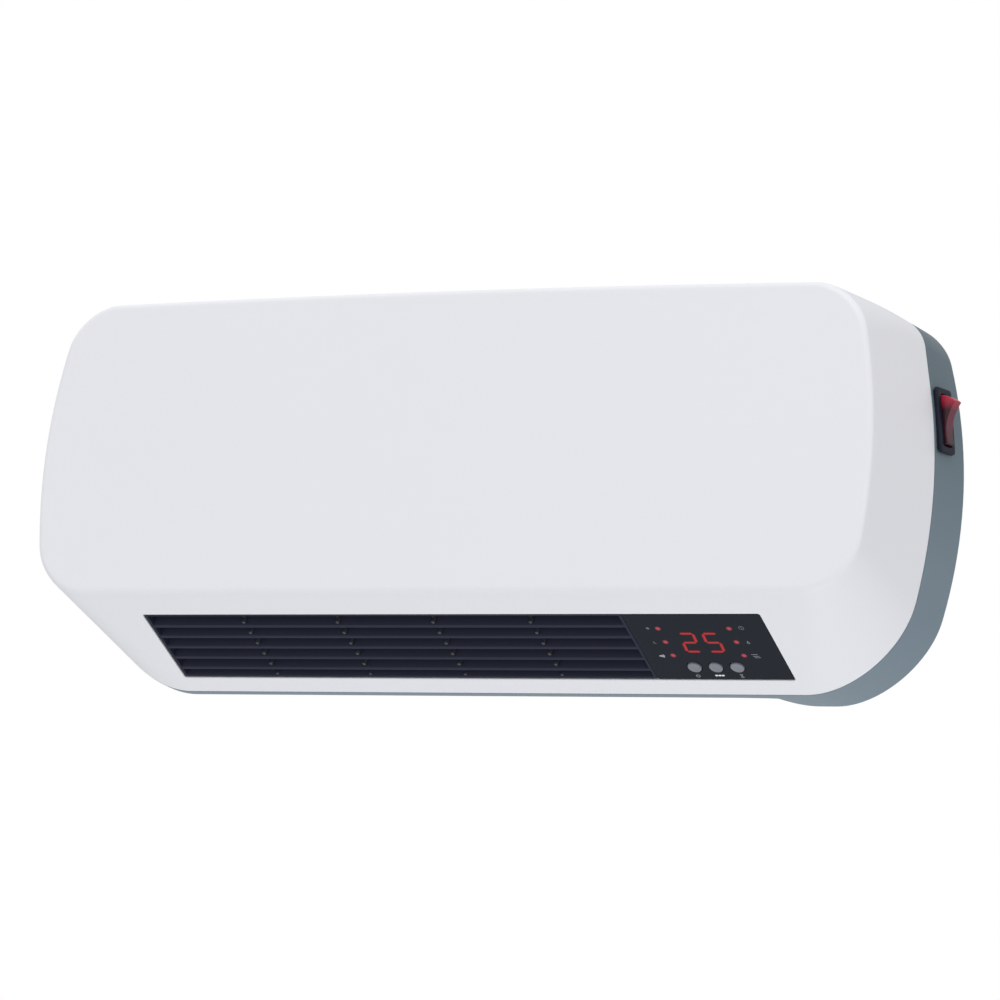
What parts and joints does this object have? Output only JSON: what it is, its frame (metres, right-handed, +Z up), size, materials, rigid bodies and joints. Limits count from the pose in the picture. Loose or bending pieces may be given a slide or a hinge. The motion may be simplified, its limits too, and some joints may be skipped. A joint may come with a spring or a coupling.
{
  "type": "fan convector heater",
  "caption": "Wall-mounted fan convector heater: rounded white cover, sloping outlet grille, control panel with display and buttons, and a side rocker switch.",
  "frame": {"origin": "on the wall, at the middle of the housing's flat back", "axes": "+X to the right of someone facing the heater, +Y into the wall, +Z up; the front faces -Y"},
  "size_m": [0.4588, 0.0962, 0.1849],
  "materials": {
    "white_cover": "fine satin white",
    "teal_housing": "satin blue-grey",
    "navy_grille": "satin dark navy",
    "smoked_fascia": "smooth smoked charcoal",
    "button_grey": "satin grey",
    "red_lens": "clear red",
    "black_plastic": "black",
    "red_rocker": "translucent dark red",
    "circuit_board": "green solder mask",
    "aluminium": "bare fins",
    "galvanised_steel": "zinc plated sheet",
    "steel": "plated",
    "brass": "turned",
    "copper_winding": "laminations with enamelled copper windings",
    "rubber": "black",
    "cream_plastic": "moulded",
    "relay_blue": "moulded",
    "wire_sheath": "silicone sheath"
  },
  "bodies": {
    "root": {"bearing_bush": "brass", "bearing_ring": "rubber", "board_screw_1": "steel", "board_screw_2": "steel", "cable_bush": "rubber", "control_board": "circuit_board", "control_fascia": "smoked_fascia", "cover_screw_1": "steel", "cover_screw_2": "steel", "cover_screw_3": "steel", "cover_screw_4": "steel", "display_module": "black_plastic", "element_holder_left": "cream_plastic", "element_holder_right": "cream_plastic", "filter_capacitor": "black_plastic", "front_cover": "white_cover", "front_deflector": "galvanised_steel", "heating_element_front": "aluminium", "heating_element_rear": "aluminium", "intake_grille": "navy_grille", "lamp_left_centre": "red_lens", "lamp_left_lower": "red_lens", "lamp_left_upper": "red_lens", "lamp_right_centre": "red_lens", "lamp_right_lower": "red_lens", "lamp_right_upper": "red_lens", "left_end_plate": "galvanised_steel", "motor_can": "galvanised_steel", "motor_end_cap": "galvanised_steel", "motor_lead": "wire_sheath", "motor_stator": "copper_winding", "outlet_grille": "navy_grille", "power_board": "circuit_board", "push_switch_left": "black_plastic", "push_switch_middle": "black_plastic", "push_switch_right": "black_plastic", "rear_housing": "teal_housing", "rear_scroll": "galvanised_steel", "relay_lower": "relay_blue", "relay_upper": "relay_blue", "remote_receiver": "black_plastic", "right_end_plate": "galvanised_steel", "switch_body": "black_plastic", "switch_lead": "wire_sheath", "terminal_block": "cream_plastic", "thermal_cutout": "black_plastic", "thermal_fuse": "steel", "transformer": "cream_plastic", "wall_bracket": "galvanised_steel"},
    "fan_rotor": {"fan_impeller": "black_plastic", "motor_shaft": "steel", "fan_stub_shaft": "steel", "motor_rotor": "galvanised_steel"},
    "rocker": {"power_rocker": "red_rocker"},
    "left_button": {"button_left": "button_grey"},
    "middle_button": {"button_middle": "button_grey"},
    "right_button": {"button_right": "button_grey"}
  },
  "joints": [
    {"name": "fan_spin", "type": "hinge", "parent": "root", "child": "fan_rotor", "pos_m": [0, -0.05, 0.024], "axis": [1, 0, 0], "continuous": true},
    {"name": "rocker_tip", "type": "hinge", "parent": "root", "child": "rocker", "pos_m": [0.22295, -0.01967, 0.04516], "axis": [0.0982, 0.9951, 0.0134], "range_deg": [-30, 0]},
    {"name": "left_button_press", "type": "slide", "parent": "root", "child": "left_button", "axis": [0, 0.4856, 0.8742], "range_m": [0, 0.0006], "stiffness_N_per_m": 1500, "springref_m": -0.0006},
    {"name": "middle_button_press", "type": "slide", "parent": "root", "child": "middle_button", "axis": [0, 0.4856, 0.8742], "range_m": [0, 0.0006], "stiffness_N_per_m": 1500, "springref_m": -0.0006},
    {"name": "right_button_press", "type": "slide", "parent": "root", "child": "right_button", "axis": [0, 0.4856, 0.8742], "range_m": [0, 0.0006], "stiffness_N_per_m": 1500, "springref_m": -0.0006}
  ]
}
